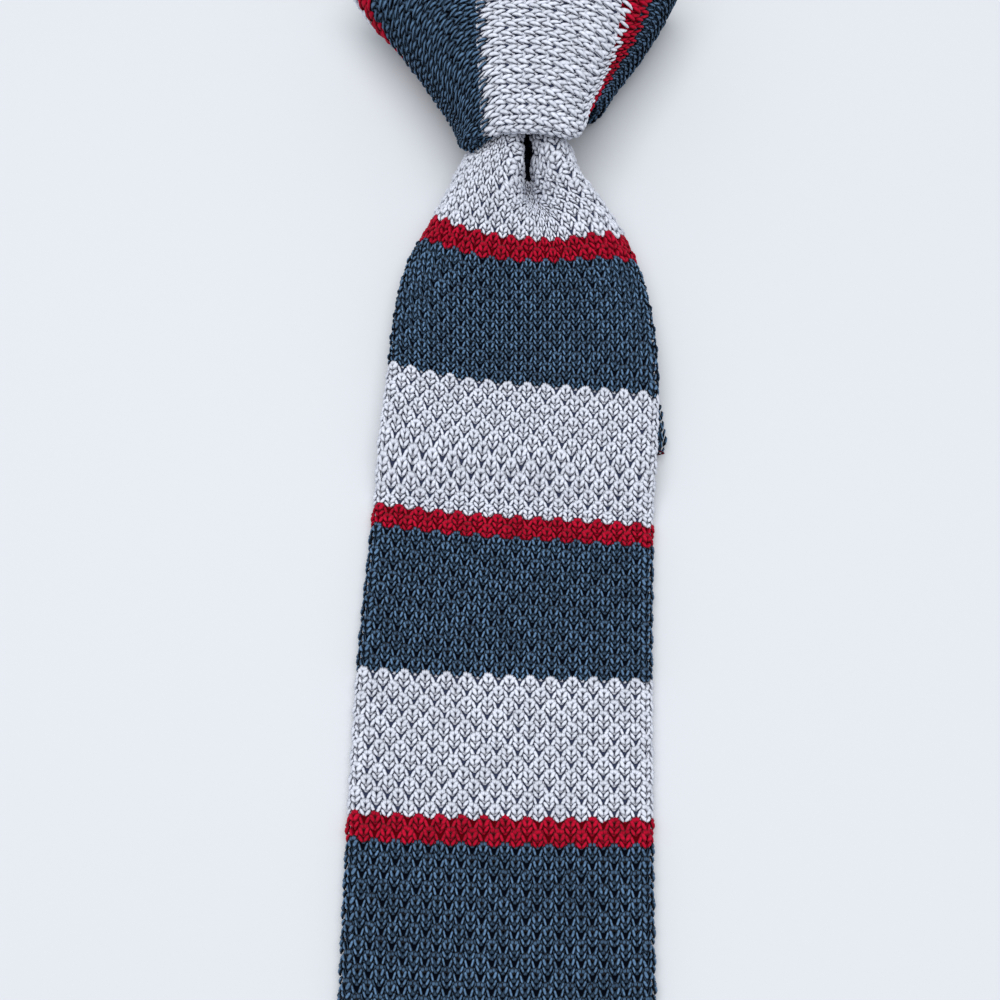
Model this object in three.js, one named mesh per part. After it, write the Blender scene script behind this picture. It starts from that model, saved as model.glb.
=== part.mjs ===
import * as THREE from "three";

// A knit necktie tied in a four-in-hand knot and laid on its back on a table. The cloth is a knitted tube pressed
// flat. The table is the plane z = 0, the neck loop points to +Y and the blade to -Y. The origin is under the knot,
// on the flat patch that the knot rests on.

// Cloth, in millimetres
const CLOTH = 4.4; // the flattened tube, both of its layers together
const KNOT_CLOTH = 3.6; // the same cloth squeezed inside the knot
const LAYER_GAP = 0.5; // clearance between cloth that lies on cloth

// Blade
const BLADE_WIDTH = 62;
const BLADE_DROP = 510; // from the knot's lower edge to the blade's end
const FAN_LENGTH = 60; // below the knot, where the gathered blade opens to its full width
const DIMPLE_OFFSET = 3; // from the middle of the blade's width to the dimple
const DIMPLE_REACH = 5.6; // from the dimple's bottom to its steepest wall, along the cloth
const STEP_LENGTH = 14; // in which the blade comes down from the tail's end to the table

// Tail
const TAIL_WIDTH = 50;
const TAIL_DROP = 68;

// Neck loop
const NECK_WIDTH = 32;
const NECK_LENGTH = 520; // around the neck, from one side of the knot to the other
const ARM_WIDTH = 20; // of the loop's two arms where the knot gathers them
const ARM_SPACING = 12; // between the two arms where they meet inside the knot
const CROSSING_BEND = 22; // radius by which the left arm turns into the first pass across the front

// Knot
const KNOT_SIDE = 4.5; // from the origin to the knot's middle plane, along X
const KNOT_LENGTH = 50; // of the front wrap, from its lower edge to its upper one
const KNOT_WIDTH = 80; // across the knot at its widest
const KNOT_DOME = 1.2; // by which the front wrap's middle stands clear of what it covers
const INNER_STEP = 6.4; // from the knot's outline in to where the wrap's hidden pass turns
const KNOT_REST = 17; // from the knot's lower edge to the origin, along Y
const ARM_RISE = 38; // from the knot's lower edge to where the two arms meet
const FOLD_RISE = 60.5; // from the knot's lower edge to the middle of the fold over the top
const FOLD_WIDTH = 22;
const LEG_WIDTH = 22; // of the leg that goes up behind the knot

// Heights of the middle of each layer in the knot, counted up from the table
const layer = (number) => (number - 0.5) * KNOT_CLOTH + (number - 1) * LAYER_GAP;
const BACK_PASS = layer(1);
const LEG = layer(2);
const UNDER_PASS = layer(3);
const TAIL_NECK = layer(4);
const CROSSING = layer(5);
const DOWN_PASS = layer(6);
const FRONT_PASS = DOWN_PASS + KNOT_CLOTH / 2 + LAYER_GAP + CLOTH / 2 + KNOT_DOME;
const ON_TABLE = CLOTH / 2;
const ON_TAIL = CLOTH + LAYER_GAP + CLOTH / 2;

const FOOT = -KNOT_REST; // the knot's lower edge
const TAIL_END = FOOT - TAIL_DROP;
const BLADE_END = FOOT - BLADE_DROP;

// The knot's outline and face, from its lower edge up. at is a share of the front wrap's length, left and right are
// shares of the knot's width, face is a share of the front pass's height, and the last two say how square the
// shoulders are
const KNOT_ROWS = [
  { at: 0.0, left: 0.17, right: 0.2, face: 0.88, leftSquare: 3.3, rightSquare: 3.2 },
  { at: 0.12, left: 0.18, right: 0.205, face: 0.92, leftSquare: 3.3, rightSquare: 3.2 },
  { at: 0.38, left: 0.265, right: 0.27, face: 0.985, leftSquare: 2.7, rightSquare: 2.8 },
  { at: 0.65, left: 0.38, right: 0.385, face: 1.0, leftSquare: 2.3, rightSquare: 2.6 },
  { at: 0.85, left: 0.48, right: 0.455, face: 0.99, leftSquare: 2.1, rightSquare: 2.4 },
  { at: 1.0, left: 0.515, right: 0.49, face: 0.96, leftSquare: 2.0, rightSquare: 2.4 },
];
const BACK_SQUARE = 4;

// The blade from the fold over the top of the knot to where it lies flat on the tail. at is a share of the front
// wrap's length above the knot's lower edge and of the fan's length below it, lift goes from 0 on the tail to 1 in
// the knot, width is a share of the blade's, and roll and dimple are the slopes of the cloth in degrees
const BLADE_ROWS = [
  { at: -2.2, lift: 0, width: 1, roll: 0, dimple: 0 },
  { at: -1.0, lift: 0, width: 0.965, roll: 0, dimple: 0 },
  { at: -0.78, lift: 0.1, width: 0.96, roll: 10, dimple: 0 },
  { at: -0.62, lift: 0.23, width: 0.955, roll: 24, dimple: 3 },
  { at: -0.47, lift: 0.4, width: 0.95, roll: 40, dimple: 9 },
  { at: -0.33, lift: 0.57, width: 0.94, roll: 60, dimple: 24 },
  { at: -0.22, lift: 0.72, width: 0.92, roll: 76, dimple: 46 },
  { at: -0.1, lift: 0.83, width: 0.88, roll: 88, dimple: 68 },
  { at: 0.0, lift: 0.845, width: 0.78, roll: 90, dimple: 74 },
  { at: 0.1, lift: 0.835, width: 0.54, roll: 96, dimple: 70 },
  { at: 0.18, lift: 0.86, width: 0.38, roll: 70, dimple: 40 },
  { at: 0.28, lift: 0.98, width: 0.3, roll: 12, dimple: 6 },
  { at: 0.36, lift: 1, width: 0.32, roll: 0, dimple: 0 },
  { at: 1.2, lift: 1, width: 0.32, roll: 0, dimple: 0 },
];

// How far the blade's middle line lies to the side. at is a share of the blade's drop and side of its width
const DRIFT_ROWS = [
  { at: 0.0, side: 0.073 },
  { at: 0.012, side: 0.066 },
  { at: 0.04, side: 0.079 },
  { at: 0.09, side: 0.084 },
  { at: 0.15, side: 0.052 },
  { at: 0.24, side: 0.012 },
  { at: 0.36, side: -0.01 },
  { at: 0.65, side: -0.03 },
  { at: 1.0, side: -0.04 },
];

// The tail below the arms' meeting. at is a share of its drop below the knot's lower edge and of the arms' rise
// above it, side is a share of its width, lift goes from 0 on the table to 1 in the knot, width is a share of its
// own
const TAIL_ROWS = [
  { at: -1.0, side: 0.215, lift: 0, width: 1 },
  { at: -0.75, side: 0.19, lift: 0, width: 0.95 },
  { at: -0.5, side: 0.16, lift: 0, width: 0.84 },
  { at: -0.25, side: 0.12, lift: 0, width: 0.64 },
  { at: -0.1, side: 0.1, lift: 0.08, width: 0.48 },
  { at: 0.0, side: 0.09, lift: 0.24, width: 0.37 },
  { at: 0.1, side: 0.09, lift: 0.34, width: 0.34 },
  { at: 0.39, side: 0.09, lift: 1, width: 0.36 },
  { at: 1.0, side: 0.17, lift: 1, width: 0.4 },
];

const smooth = (from, to, value) => THREE.MathUtils.smoothstep(value, from, to);
const mix = THREE.MathUtils.lerp;
const radians = THREE.MathUtils.degToRad;

// One column of a table at a place between its rows, joined by curves that never overshoot a row
function column(rows, name, at) {
  const last = rows.length - 1;
  if (at <= rows[0].at) return rows[0][name];
  if (at >= rows[last].at) return rows[last][name];
  const i = rows.findIndex((row) => row.at > at) - 1;
  const slope = (k) => (rows[k + 1][name] - rows[k][name]) / (rows[k + 1].at - rows[k].at);
  const tangent = (k) => {
    if (k === 0 || k === last) return 0;
    const [before, after] = [slope(k - 1), slope(k)];
    return before * after <= 0 ? 0 : (2 * before * after) / (before + after);
  };
  const span = rows[i + 1].at - rows[i].at;
  const t = (at - rows[i].at) / span;
  const [t2, t3] = [t * t, t * t * t];
  return (
    (2 * t3 - 3 * t2 + 1) * rows[i][name] +
    (t3 - 2 * t2 + t) * span * tangent(i) +
    (3 * t2 - 2 * t3) * rows[i + 1][name] +
    (t3 - t2) * span * tangent(i + 1)
  );
}

// Even steps from one value to another, the last one left out
const steps = (from, to, count) =>
  Array.from({ length: count }, (_, i) => mix(from, to, i / count));

// A length of cloth as one closed body. middle(place, across) is its middle surface, with across from -1 to 1 at
// the mid lines of its two folded edges, and thickness(place) is the cloth's there
function cloth(middle, places, widthSteps, thickness) {
  const FOLD_STEPS = 4;
  const REACH = 1e-3;
  const ring = (place) => {
    const half = thickness(place) / 2;
    const at = (across) => {
      const point = middle(place, across);
      const inner = Math.min(Math.max(across, REACH - 1), 1 - REACH);
      const wide = middle(place, inner + REACH).sub(middle(place, inner - REACH)).normalize();
      const long = middle(place + REACH, across).sub(middle(place - REACH, across)).normalize();
      const normal = new THREE.Vector3().crossVectors(wide, long).normalize();
      return { point, wide, normal };
    };
    const offset = (frame, turn) =>
      frame.point
        .clone()
        .addScaledVector(frame.normal, half * Math.cos(turn))
        .addScaledVector(frame.wide, half * Math.sin(turn));
    const frames = [...steps(-1, 1, widthSteps), 1].map(at);
    const [first, last] = [frames[0], frames[widthSteps]];
    const folds = steps(0, Math.PI, FOLD_STEPS).slice(1);
    return [
      ...frames.map((frame) => offset(frame, 0)),
      ...folds.map((turn) => offset(last, turn)),
      ...frames.map((frame) => offset(frame, Math.PI)).reverse(),
      ...folds.map((turn) => offset(first, turn + Math.PI)),
    ];
  };
  const rings = places.map(ring);
  const size = rings[0].length;
  const faces = [];
  for (let i = 0; i + 1 < rings.length; i += 1) {
    for (let j = 0; j < size; j += 1) {
      const [a, b] = [i * size + j, i * size + ((j + 1) % size)];
      faces.push(a, a + size, b, b, a + size, b + size);
    }
  }
  // The two ends are closed by strips between the upper and the lower side
  const close = (start, flip) => {
    const pairs = [];
    for (let j = 0; j <= widthSteps; j += 1) pairs.push([j, 2 * widthSteps + FOLD_STEPS - j]);
    const strip = (a, b, c) => faces.push(...(flip ? [a, c, b] : [a, b, c]).map((k) => start + k));
    for (let j = 0; j < widthSteps; j += 1) {
      strip(pairs[j][0], pairs[j + 1][0], pairs[j][1]);
      strip(pairs[j][1], pairs[j + 1][0], pairs[j + 1][1]);
    }
    const lastUpper = widthSteps;
    for (let k = 0; k < FOLD_STEPS - 1; k += 1) {
      strip(lastUpper + k, lastUpper + k + 1, lastUpper + FOLD_STEPS);
      const left = size - FOLD_STEPS + 1 + k;
      strip(size - FOLD_STEPS + k, left, 0);
    }
  };
  close(0, false);
  close((rings.length - 1) * size, true);
  const geometry = new THREE.BufferGeometry();
  const numbers = rings.flat().flatMap((point) => point.toArray());
  geometry.setAttribute("position", new THREE.Float32BufferAttribute(numbers, 3));
  geometry.setIndex(signedVolume(numbers, faces) < 0 ? reversed(faces) : faces);
  geometry.computeVertexNormals();
  return geometry;
}

function signedVolume(numbers, faces) {
  const corner = (k) => new THREE.Vector3().fromArray(numbers, 3 * faces[k]);
  let volume = 0;
  for (let i = 0; i < faces.length; i += 3) {
    volume += corner(i).dot(corner(i + 1).cross(corner(i + 2))) / 6;
  }
  return volume;
}

function reversed(faces) {
  const turned = [];
  for (let i = 0; i < faces.length; i += 3) turned.push(faces[i], faces[i + 2], faces[i + 1]);
  return turned;
}

// A free end of a piece is rounded over half a cloth's thickness
const roundedEnd = (distance) =>
  Math.sqrt(1 - (1 - THREE.MathUtils.clamp(distance / (CLOTH / 2), 0.15, 1)) ** 2);

function surface(colour) {
  return new THREE.MeshStandardMaterial({ color: colour, roughness: 0.85, metalness: 0 });
}

function mesh(name, geometry, colour) {
  const made = new THREE.Mesh(geometry, surface(colour));
  made.name = name;
  return made;
}

// Middle line across the folded blade: the cloth keeps its width, its edges roll down and the dimple runs in beside
// the middle. The line is centred on its outermost points, with its highest point at height 0
function foldedLine(width, roll, dimple) {
  const COUNT = 80;
  const half = width / 2;
  const share = width / (BLADE_WIDTH - CLOTH);
  const points = [{ u: -half, x: 0, z: 0 }];
  for (let i = 0; i < COUNT; i += 1) {
    const u = mix(-half, half, (i + 0.5) / COUNT);
    const from = (u - DIMPLE_OFFSET * share) / (DIMPLE_REACH * share);
    const wall = from * Math.exp((1 - from * from) / 2);
    const slope = radians(dimple) * wall - radians(roll) * Math.sign(u) * smooth(0.2, 1, Math.abs(u) / half);
    const before = points[i];
    const step = width / COUNT;
    points.push({
      u: before.u + step,
      x: before.x + step * Math.cos(slope),
      z: before.z + step * Math.sin(slope),
    });
  }
  const xs = points.map((p) => p.x);
  const middle = (Math.min(...xs) + Math.max(...xs)) / 2;
  const crest = Math.max(...points.map((p) => p.z));
  return (across) => {
    const place = THREE.MathUtils.clamp(((across + 1) / 2) * COUNT, 0, COUNT - 1e-6);
    const i = Math.floor(place);
    const [a, b] = [points[i], points[i + 1]];
    return { x: mix(a.x, b.x, place - i) - middle, z: mix(a.z, b.z, place - i) - crest };
  };
}

// How high the blade's crest lies, and how it is folded there, at a distance y along the table
function bladeAt(y) {
  const at = (y - FOOT) / (y > FOOT ? KNOT_LENGTH : FAN_LENGTH);
  const lift = column(BLADE_ROWS, "lift", at);
  const offTail = smooth(0, STEP_LENGTH, TAIL_END - y);
  return {
    z: mix(mix(ON_TAIL, DOWN_PASS, lift), ON_TABLE, offTail),
    width: column(BLADE_ROWS, "width", at) * (BLADE_WIDTH - CLOTH),
    roll: column(BLADE_ROWS, "roll", at) * (1 - offTail),
    dimple: column(BLADE_ROWS, "dimple", at),
  };
}

const bladeSide = (y) => column(DRIFT_ROWS, "side", (FOOT - y) / BLADE_DROP) * BLADE_WIDTH;

const FOLD_Y = FOOT + FOLD_RISE;
const FOLD_RADIUS = (DOWN_PASS - LEG) / 2;
const LEG_START = FOLD_Y - KNOT_LENGTH * 0.46;

// The blade's middle surface. place runs through 0 to 1 up the leg behind the knot, 1 to 2 over the fold at its top
// and from 2 down the front, one millimetre of the table for each 2 to 3 of BLADE_SCALE
const BLADE_SCALE = 100;
function bladeMiddle(place, across) {
  if (place < 1) {
    const y = mix(LEG_START, FOLD_Y, place);
    const half = (mix(LEG_WIDTH, FOLD_WIDTH, place) - KNOT_CLOTH) / 2;
    return new THREE.Vector3(bladeSide(y) + across * half, y, LEG);
  }
  if (place < 2) {
    const turn = Math.PI * (place - 1.5);
    const half = (FOLD_WIDTH - KNOT_CLOTH) / 2;
    const y = FOLD_Y + FOLD_RADIUS * Math.cos(turn);
    const z = (LEG + DOWN_PASS) / 2 + FOLD_RADIUS * Math.sin(turn);
    return new THREE.Vector3(bladeSide(FOLD_Y) + across * half, y, z);
  }
  const y = FOLD_Y - (place - 2) * BLADE_SCALE;
  const { z, width, roll, dimple } = bladeAt(y);
  const fromFold = smooth(0, KNOT_LENGTH / 2, FOLD_Y - y);
  const line = foldedLine(mix(FOLD_WIDTH - KNOT_CLOTH, width, fromFold), roll, dimple)(across);
  const slant = (bladeSide(y - 1) - bladeSide(y + 1)) / 2;
  return new THREE.Vector3(bladeSide(y) + line.x, y + line.x * slant, z + line.z);
}

function bladeGeometry() {
  const down = (y) => 2 + (FOLD_Y - y) / BLADE_SCALE;
  const fanEnd = FOOT - FAN_LENGTH;
  const lie = TAIL_END - STEP_LENGTH;
  const places = [
    ...steps(0, 1, 2),
    ...steps(1, 2, 8),
    ...steps(2, down(FOOT + KNOT_LENGTH * 0.3), 2),
    ...steps(down(FOOT + KNOT_LENGTH * 0.3), down(FOOT), 6),
    ...steps(down(FOOT), down(fanEnd), 15),
    ...steps(down(fanEnd), down(TAIL_END), 1),
    ...steps(down(TAIL_END), down(lie), 5),
    ...steps(down(lie), down(BLADE_END + CLOTH / 2), 8),
    down(BLADE_END + CLOTH / 2),
    down(BLADE_END + CLOTH / 6),
    down(BLADE_END),
  ];
  const thickness = (place) => {
    const y = FOLD_Y - (place - 2) * BLADE_SCALE;
    if (place < 2 || y > FOOT) return KNOT_CLOTH;
    return mix(KNOT_CLOTH, CLOTH, smooth(0, FAN_LENGTH / 2, FOOT - y)) * roundedEnd(y - BLADE_END);
  };
  return cloth(bladeMiddle, places, 20, thickness);
}

// The tail's middle surface, place 0 at the arms' meeting and 1 at its end
const TAIL_START = FOOT + ARM_RISE - 2 * LAYER_GAP;
function tailMiddle(place, across) {
  const y = mix(TAIL_START, TAIL_END, place);
  const at = (y - FOOT) / (y > FOOT ? ARM_RISE : TAIL_DROP);
  const half = (column(TAIL_ROWS, "width", at) * TAIL_WIDTH - CLOTH) / 2;
  const side = (value) => column(TAIL_ROWS, "side", value) * TAIL_WIDTH;
  const slant = (side(at - 0.02) - side(at + 0.02)) / (0.04 * TAIL_DROP);
  // At its top the tail is cut square to the arm that it carries on
  const square = mix(slant, -Math.tan(ARM_HEADING - Math.PI / 2), smooth(0.55, 1, at));
  const z = mix(ON_TABLE, TAIL_NECK, column(TAIL_ROWS, "lift", at));
  return new THREE.Vector3(side(at) + across * half, y + across * half * square, z);
}

function tailGeometry() {
  const places = [...steps(0, 0.72, 14), ...steps(0.72, 0.98, 3), 0.98, 0.99, 1];
  const length = TAIL_START - TAIL_END;
  const thickness = (place) =>
    mix(KNOT_CLOTH, CLOTH, smooth(0.4, 0.7, place)) * roundedEnd((1 - place) * length);
  return cloth(tailMiddle, places, 8, thickness);
}

// The wrap: from the right side inside the knot behind the tail to the left, across the front and round the right
// side to the back again. turn counts whole turns, 0.25 at the right side, 0.5 behind, 0.75 at the left, 1 in front
const WRAP_START = 0.29;
const WRAP_END = 1.535;

// The wrap's edges, and its size against the knot's. at is the turn, low and high are shares of the front wrap's
// length, out goes from 0 inside the knot to 1 at its outline and tall from 0 around the tail to 1 over all layers
const WRAP_ROWS = [
  { at: 0.29, low: 0.44, high: 0.72, out: 0, tall: 0 },
  { at: 0.42, low: 0.38, high: 0.8, out: 0, tall: 0 },
  { at: 0.62, low: 0.29, high: 0.92, out: 0.6, tall: 0.12 },
  { at: 0.75, low: 0.12, high: 1, out: 1, tall: 0.5 },
  { at: 0.88, low: 0.03, high: 1, out: 1, tall: 0.93 },
  { at: 1.0, low: 0, high: 1, out: 1, tall: 1 },
  { at: 1.12, low: 0.02, high: 1, out: 1, tall: 1 },
  { at: 1.25, low: 0.12, high: 1, out: 1, tall: 1 },
  { at: 1.5, low: 0.14, high: 0.9, out: 1, tall: 1 },
];

function wrapMiddle(turn, across) {
  const wrap = (name) => column(WRAP_ROWS, name, turn);
  const inset = CLOTH / 2 / KNOT_LENGTH;
  const at = mix(wrap("low") + inset, wrap("high") - inset, (across + 1) / 2);
  const row = (name) => column(KNOT_ROWS, name, at);
  const [sine, cosine] = [Math.sin(2 * Math.PI * turn), Math.cos(2 * Math.PI * turn)];
  const tall = wrap("tall");
  const outer = row(sine < 0 ? "left" : "right") * KNOT_WIDTH - CLOTH / 2;
  const half = outer - (1 - wrap("out")) * INNER_STEP;
  const front = mix(CROSSING, FRONT_PASS * row("face"), tall);
  const back = mix(UNDER_PASS, BACK_PASS - LAYER_GAP, tall);
  const square = cosine < 0 ? BACK_SQUARE : row(sine < 0 ? "leftSquare" : "rightSquare");
  const bent = (value) => Math.sign(value) * Math.abs(value) ** (2 / square);
  return new THREE.Vector3(
    KNOT_SIDE + half * bent(sine),
    FOOT + at * KNOT_LENGTH,
    Math.max(BACK_PASS, (front + back) / 2 + ((front - back) / 2) * bent(cosine)),
  );
}

function wrapGeometry() {
  const places = [...steps(WRAP_START, WRAP_END, 70), WRAP_END];
  const thickness = (turn) =>
    mix(KNOT_CLOTH, mix(CLOTH, KNOT_CLOTH, smooth(1.2, 1.45, turn)), smooth(0.6, 0.9, turn));
  return cloth(wrapMiddle, places, 9, thickness);
}

// The neck loop's middle line in plan. It leaves the knot on the left, turns most at the nape and comes back on the
// right. The whole turn is found so that the two arms end their spacing apart
const LOOP_COUNT = 400;
const ARM_EXTRA = 2 * 20; // of the arms' length inside the knot
function loopLine(wholeTurn) {
  const length = NECK_LENGTH + ARM_EXTRA;
  const points = [{ x: 0, y: 0, heading: wholeTurn / 2 }];
  for (let i = 0; i < LOOP_COUNT; i += 1) {
    const s = (i + 0.5) / LOOP_COUNT;
    const turned = s - Math.sin(2 * Math.PI * s) / (2 * Math.PI);
    const heading = wholeTurn / 2 - wholeTurn * turned;
    const { x, y } = points[i];
    const step = length / LOOP_COUNT;
    points.push({ x: x + step * Math.cos(heading), y: y + step * Math.sin(heading), heading });
  }
  return points;
}

function wholeTurn() {
  let [low, high] = [radians(180), radians(330)];
  for (let i = 0; i < 40; i += 1) {
    const middle = (low + high) / 2;
    if (loopLine(middle)[LOOP_COUNT].x > ARM_SPACING) low = middle;
    else high = middle;
  }
  return low;
}

const LOOP = loopLine(wholeTurn());
const ARM_HEADING = LOOP[0].heading;
const BEND_ANGLE = Math.PI - ARM_HEADING;
const BEND_LENGTH = CROSSING_BEND * BEND_ANGLE;
const CROSSING_LENGTH = BEND_LENGTH / (NECK_LENGTH + ARM_EXTRA);

// The loop's middle line: below place 0 it is the first pass across the knot, bent towards +X
function loopAt(place) {
  const start = { x: KNOT_SIDE - ARM_SPACING / 2, y: FOOT + ARM_RISE };
  if (place < 0) {
    const turned = Math.min(-place / CROSSING_LENGTH, 1.2) * BEND_ANGLE;
    const heading = ARM_HEADING + turned;
    const r = CROSSING_BEND;
    return {
      x: start.x - r * (Math.sin(heading) - Math.sin(ARM_HEADING)),
      y: start.y + r * (Math.cos(heading) - Math.cos(ARM_HEADING)),
      heading,
    };
  }
  const at = Math.min(place, 1) * LOOP_COUNT;
  const i = Math.min(Math.floor(at), LOOP_COUNT - 1);
  const [a, b] = [LOOP[i], LOOP[i + 1]];
  return {
    x: start.x + mix(a.x, b.x, at - i),
    y: start.y + mix(a.y, b.y, at - i),
    heading: mix(a.heading, b.heading, at - i),
  };
}

// Shares of the loop over which an arm turns from lying flat to standing on its edge
const TWIST_FROM = 0.075;
const TWIST_TO = 0.27;

function loopMiddle(place, across) {
  const { x, y, heading } = loopAt(place);
  const near = Math.min(place, 1 - place);
  const upright = smooth(TWIST_FROM, TWIST_TO, near) * (Math.PI / 2);
  const half = (mix(ARM_WIDTH, NECK_WIDTH, smooth(TWIST_FROM / 2, TWIST_TO, near)) - CLOTH) / 2;
  const inKnot = 1 - smooth(0, TWIST_FROM, near);
  const z = mix(NECK_WIDTH / 2, place < 0.5 ? CROSSING : TAIL_NECK, inKnot);
  // across = 1 is the inner edge of the loop, which rises as the arm turns up
  const reach = across * half * Math.cos(upright);
  return new THREE.Vector3(
    x + reach * Math.sin(heading),
    y - reach * Math.cos(heading),
    z + across * half * Math.sin(upright),
  );
}

function loopGeometry() {
  const places = [
    ...steps(-CROSSING_LENGTH, 0, 4),
    ...steps(0, TWIST_FROM, 3),
    ...steps(TWIST_FROM, TWIST_TO, 10),
    ...steps(TWIST_TO, 1 - TWIST_TO, 26),
    ...steps(1 - TWIST_TO, 1 - TWIST_FROM, 10),
    ...steps(1 - TWIST_FROM, 1, 3),
    1,
  ];
  const thickness = (place) => mix(KNOT_CLOTH, CLOTH, smooth(TWIST_FROM, TWIST_TO, Math.min(place, 1 - place)));
  return cloth(loopMiddle, places, 4, thickness);
}

const SLATE = 0x2c4256;
const GREY = 0xa9aeb8;

const tie = new THREE.Group();
tie.name = "knit_tie";
tie.add(mesh("front_blade", bladeGeometry(), GREY));
tie.add(mesh("knot_wrap", wrapGeometry(), GREY));
tie.add(mesh("neck_loop", loopGeometry(), SLATE));
tie.add(mesh("tail", tailGeometry(), SLATE));

export default tie;
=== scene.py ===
"""A knit tie in a four-in-hand knot, lying on a pale table: its cloth, its stitches and the stage."""

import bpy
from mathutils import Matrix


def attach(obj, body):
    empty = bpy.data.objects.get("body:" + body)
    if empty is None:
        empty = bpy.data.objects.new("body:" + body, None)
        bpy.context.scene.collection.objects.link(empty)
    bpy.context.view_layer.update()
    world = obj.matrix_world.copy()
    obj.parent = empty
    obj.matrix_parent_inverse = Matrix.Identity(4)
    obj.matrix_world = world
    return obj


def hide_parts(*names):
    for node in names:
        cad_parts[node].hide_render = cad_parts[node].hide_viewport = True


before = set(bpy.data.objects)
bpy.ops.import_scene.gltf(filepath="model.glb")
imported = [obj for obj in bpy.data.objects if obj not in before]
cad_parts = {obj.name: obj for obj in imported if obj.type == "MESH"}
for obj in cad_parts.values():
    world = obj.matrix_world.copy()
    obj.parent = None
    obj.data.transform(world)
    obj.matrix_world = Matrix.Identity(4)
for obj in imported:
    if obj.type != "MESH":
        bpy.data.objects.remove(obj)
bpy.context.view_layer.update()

import functools
import math

import bpy
import numpy as np
from mathutils import Vector

bl_info = {
    "name": "Knit tie",
    "version": (1, 0, 0),
    "blender": (4, 5, 0),
    "location": "3D View > Sidebar > Tie",
    "description": "Knitted cloth, stitches and stage of a tie in a four-in-hand knot",
    "category": "Add Mesh",
}

MM = 0.001

# Sizes in millimetres, as in the part's source


def table(names, *rows):
    """Columns by name. The first column says where each row stands."""
    return dict(zip(names.split(), np.array(rows, float).T))


CLOTH, KNOT_CLOTH, LAYER_GAP = 4.4, 3.6, 0.5
BLADE_WIDTH, BLADE_DROP, FAN_LENGTH = 62.0, 510.0, 60.0
DIMPLE_OFFSET, DIMPLE_REACH, STEP_LENGTH = 3.0, 5.6, 14.0
VALLEY_SLANT = 13.0  # how far the dimple moves to the right over the fan's length
TAIL_WIDTH, TAIL_DROP = 50.0, 68.0
NECK_WIDTH, NECK_LENGTH, ARM_WIDTH, ARM_SPACING, CROSSING_BEND = 32.0, 520.0, 20.0, 12.0, 22.0
ARM_EXTRA = 40.0  # how much longer the loop is than its length round the neck
TWIST_FROM, TWIST_TO = 0.075, 0.27  # the shares of the loop, from each end, between which it turns up on edge
KNOT_SIDE, KNOT_LENGTH, KNOT_WIDTH, KNOT_DOME, INNER_STEP = 4.5, 50.0, 80.0, 1.2, 6.4
KNOT_REST, ARM_RISE, FOLD_RISE, FOLD_WIDTH, LEG_WIDTH = 17.0, 38.0, 60.5, 22.0, 22.0

# The knit: the width of a wale and the length of a course on the blade, and that of a course on the loop and tail
WALE_WIDTH, COURSE_LENGTH, PLAIN_COURSE = 2.2, 5.0, 5.05
RED_END, NAVY_END, REPEAT = 1, 7, 13  # the courses at which red, navy and grey end in each repeat of the colours
LOOP_COURSE, TAIL_COURSE = 3.0, 1.2  # the courses at which the loop leaves the tail and at which the tail ends
FOLD_WALES = 3  # wales on each rounded edge between the face and the back

# Columns of points across each cloth's face, steps round each of its rounded edges and steps along the neck loop
BLADE_COLUMNS, WRAP_COLUMNS, LOOP_COLUMNS, TAIL_COLUMNS = 53, 41, 13, 27
EDGE_STEPS, LOOP_STEPS = 6, 400

# The photograph's camera and the lamp, in metres, apart from the lens in millimetres and the tilt in degrees
CAMERA_PLACE, CAMERA_TILT, CAMERA_LENS = (0.0, -0.19032, 0.29634), 17.8, 50.4
LAMP_PLACE, LAMP_AIM, LAMP_SIZE = (-0.04, -0.05, 1.1), (0.0, -0.08, 0.0), 1.2
FLOOR_SIZE = 3.0


def layer(number):
    """Height of the middle of a layer in the knot, counted up from the table."""
    return (number - 0.5) * KNOT_CLOTH + (number - 1) * LAYER_GAP


BACK_PASS, LEG, UNDER_PASS, TAIL_NECK, CROSSING, DOWN_PASS = map(layer, range(1, 7))
FRONT_PASS = DOWN_PASS + KNOT_CLOTH / 2 + LAYER_GAP + CLOTH / 2 + KNOT_DOME
ON_TABLE = CLOTH / 2
ON_TAIL = CLOTH + LAYER_GAP + CLOTH / 2
FOOT = -KNOT_REST
TAIL_END = FOOT - TAIL_DROP
BLADE_END = FOOT - BLADE_DROP
FOLD_Y = FOOT + FOLD_RISE
FOLD_RADIUS = (DOWN_PASS - LEG) / 2
LEG_START = FOLD_Y - KNOT_LENGTH * 0.46

KNOT_ROWS = table(
    "at left right face left_square right_square",
    (0.0, 0.17, 0.2, 0.88, 3.3, 3.2),
    (0.12, 0.18, 0.205, 0.92, 3.3, 3.2),
    (0.38, 0.265, 0.27, 0.985, 2.7, 2.8),
    (0.65, 0.38, 0.385, 1.0, 2.3, 2.6),
    (0.85, 0.48, 0.455, 0.99, 2.1, 2.4),
    (1.0, 0.515, 0.49, 0.96, 2.0, 2.4),
)
BACK_SQUARE = 4.0

BLADE_ROWS = table(
    "at lift width roll dimple",
    (-2.2, 0, 1, 0, 0),
    (-1.0, 0, 0.965, 0, 0),
    (-0.78, 0.1, 0.96, 10, 0),
    (-0.62, 0.23, 0.955, 24, 3),
    (-0.47, 0.4, 0.95, 40, 9),
    (-0.33, 0.57, 0.94, 60, 24),
    (-0.22, 0.72, 0.92, 76, 46),
    (-0.1, 0.83, 0.88, 88, 68),
    (0.0, 0.845, 0.78, 90, 74),
    (0.1, 0.835, 0.54, 96, 70),
    (0.18, 0.86, 0.38, 70, 40),
    (0.28, 0.98, 0.3, 12, 6),
    (0.36, 1, 0.32, 0, 0),
    (1.2, 1, 0.32, 0, 0),
)

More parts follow.
